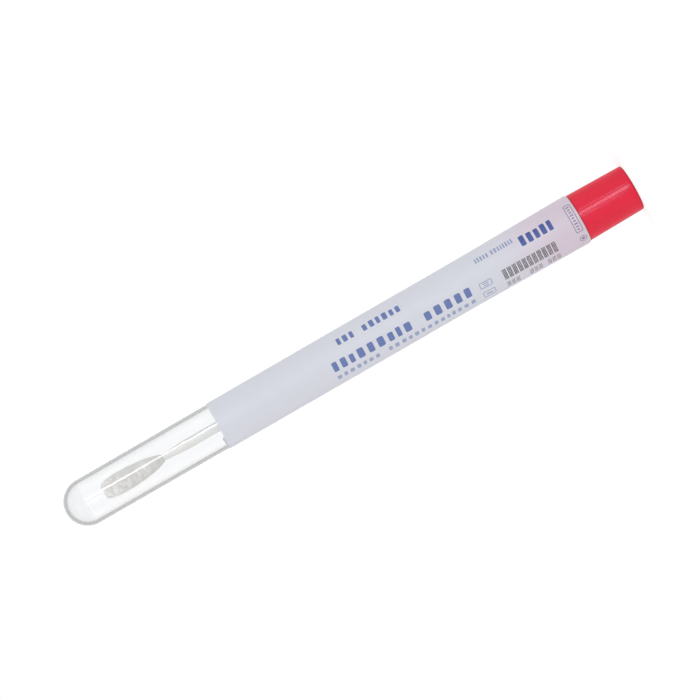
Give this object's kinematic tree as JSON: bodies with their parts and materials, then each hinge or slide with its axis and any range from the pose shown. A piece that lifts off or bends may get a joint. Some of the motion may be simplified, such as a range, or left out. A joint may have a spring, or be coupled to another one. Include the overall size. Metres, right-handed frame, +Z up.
{
  "type": "specimen swab tube",
  "caption": "Slim round-bottomed specimen tube with a wrapped film label, closed by a fluted red plug stopper that holds a snappable swab inside.",
  "frame": {"origin": "the middle of the stopper's crown, on the surface that the part stands on", "axes": "+Z up the common axis from the stopper's crown to the tube's round foot, -Y the front of the label, +X across"},
  "size_m": [0.0129, 0.0129, 0.1571],
  "materials": {
    "clear_tube": "gloss",
    "label_film": "satin",
    "red_stopper": "satin",
    "white_shaft": "satin",
    "wound_fibre": "matte"
  },
  "bodies": {
    "stopper": {"cap": "red_stopper", "swab_shaft": "white_shaft", "swab_bud": "wound_fibre"},
    "tube_body": {"tube": "clear_tube", "label": "label_film"}
  },
  "joints": [
    {"name": "tube_lift", "type": "slide", "parent": "stopper", "child": "tube_body", "axis": [0, 0, 1], "range_m": [0, 0.14]}
  ]
}
